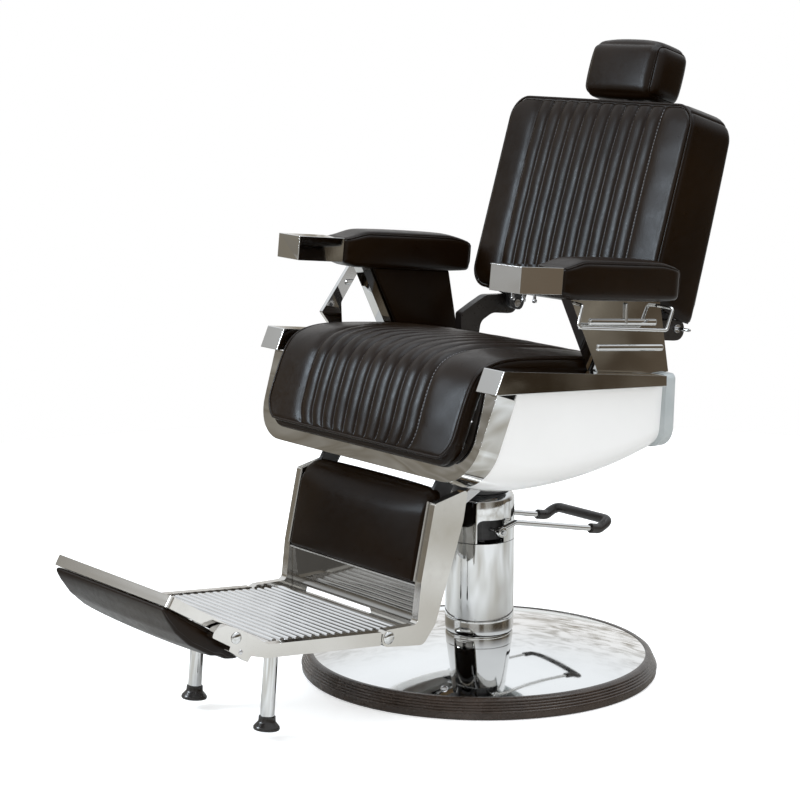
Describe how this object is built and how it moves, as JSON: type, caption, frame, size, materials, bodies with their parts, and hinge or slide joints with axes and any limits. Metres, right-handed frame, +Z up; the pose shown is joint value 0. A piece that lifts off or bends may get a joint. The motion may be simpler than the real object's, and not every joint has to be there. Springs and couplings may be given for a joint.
{
  "type": "hydraulic barber chair",
  "caption": "Hydraulic barber chair with a padded reclining back, headrest, padded arms, linked leg rest and folding footplate on a round pump base.",
  "frame": {"origin": "on the column's axis, at the floor under the round base", "axes": "+Z up, the sitter faces -Y, +X is the sitter's left"},
  "size_m": [0.7314, 1.2531, 1.1803],
  "materials": {
    "dark_rubber": "matte",
    "chrome": "mirror polished",
    "cast_iron": "rough cast, painted",
    "brushed_steel": "fine turned",
    "brass": "machined",
    "black_plastic": "satin",
    "painted_steel": "satin",
    "plywood": "raw",
    "black_leather": "semi-gloss leatherette",
    "white_gloss": "gloss",
    "grey_trim": "satin",
    "aluminium": "satin, ribbed"
  },
  "bodies": {
    "base": {"base_ring": "dark_rubber", "base_dome": "chrome", "base_ballast": "cast_iron", "pump_cylinder": "brushed_steel", "column_collar": "brushed_steel"},
    "ram": {"ram_rod": "chrome", "ram_thrust_washer": "brass"},
    "seat": {"column_sleeve": "chrome", "pump_head": "chrome", "pump_block": "cast_iron", "seat_hub": "painted_steel", "seat_frame": "painted_steel", "seat_board": "plywood", "seat_cushion": "black_leather", "front_apron": "chrome", "side_shell_left": "white_gloss", "side_shell_right": "white_gloss", "side_band_left": "chrome", "side_band_right": "chrome", "rear_trim": "grey_trim", "hinge_arm_left": "black_plastic", "hinge_arm_right": "black_plastic", "arm_block_left": "chrome", "arm_block_right": "chrome", "arm_pad_left": "black_leather", "arm_pad_right": "black_leather", "arm_post_left": "chrome", "arm_post_right": "chrome", "arm_panel_left": "black_leather", "arm_panel_right": "black_leather", "towel_rail": "chrome", "release_bolt": "brushed_steel"},
    "pump_lever": {"lever_fork": "chrome", "lever_grip": "black_plastic"},
    "release": {"release_lever": "chrome"},
    "backrest": {"back_cushion": "black_leather", "back_board": "black_leather", "headrest_guide": "painted_steel", "back_bracket": "painted_steel", "hinge_pin_left": "brushed_steel", "hinge_pin_right": "brushed_steel"},
    "headrest": {"headrest_post": "brushed_steel", "headrest_pad": "black_leather"},
    "push_link": {"push_rod": "brushed_steel"},
    "legrest": {"leg_plate_left": "chrome", "leg_plate_right": "chrome", "shin_pad": "black_leather", "kick_plate": "chrome", "leg_tube": "painted_steel"},
    "footplate": {"tread_plate": "aluminium", "foot_rail_left": "chrome", "foot_rail_right": "chrome", "foot_pin_left": "chrome", "foot_pin_right": "chrome", "foot_leg_left": "chrome", "foot_leg_right": "chrome", "foot_shoe_left": "dark_rubber", "foot_shoe_right": "dark_rubber"},
    "flip_panel": {"flip_tray": "chrome", "flip_pad": "black_leather"}
  },
  "joints": [
    {"name": "lift", "type": "slide", "parent": "base", "child": "ram", "axis": [0, 0, 1], "range_m": [0, 0.13]},
    {"name": "swivel", "type": "hinge", "parent": "ram", "child": "seat", "pos_m": [0, 0, 0.39], "axis": [0, 0, 1], "continuous": true},
    {"name": "pump_lever_pivot", "type": "hinge", "parent": "seat", "child": "pump_lever", "pos_m": [0, -0.014, 0.283], "axis": [-1, 0, 0], "range_deg": [0, 18], "stiffness_Nm_per_rad": 15, "springref_deg": -14.32},
    {"name": "release_pivot", "type": "hinge", "parent": "seat", "child": "release", "pos_m": [-0.3645, -0.073, 0.609], "axis": [1, 0, 0], "range_deg": [0, 15], "stiffness_Nm_per_rad": 2, "springref_deg": -17.19},
    {"name": "recline", "type": "hinge", "parent": "seat", "child": "backrest", "pos_m": [0, 0.266, 0.664], "axis": [-1, 0, 0], "range_deg": [0, 45]},
    {"name": "headrest_slide", "type": "slide", "parent": "backrest", "child": "headrest", "axis": [0, 0.2924, 0.9563], "range_m": [0, 0.09]},
    {"name": "push_rod_pivot", "type": "hinge", "parent": "backrest", "child": "push_link", "pos_m": [0, 0.266, 0.594], "axis": [-1, 0, 0], "range_deg": [-45, 0]},
    {"name": "legrest_pivot", "type": "hinge", "parent": "seat", "child": "legrest", "pos_m": [0, -0.243, 0.388], "axis": [-1, 0, 0], "range_deg": [0, 45]},
    {"name": "footplate_pivot", "type": "hinge", "parent": "legrest", "child": "footplate", "pos_m": [0, -0.38, 0.169], "axis": [-1, 0, 0], "range_deg": [0, 35]},
    {"name": "flip_pivot", "type": "hinge", "parent": "footplate", "child": "flip_panel", "pos_m": [0, -0.7, 0.223], "axis": [-1, 0, 0], "range_deg": [0, 145]}
  ],
  "couplings": [
    {"joint": "push_rod_pivot", "follows": "recline", "ratio": -1},
    {"joint": "legrest_pivot", "follows": "recline", "ratio": 1}
  ]
}
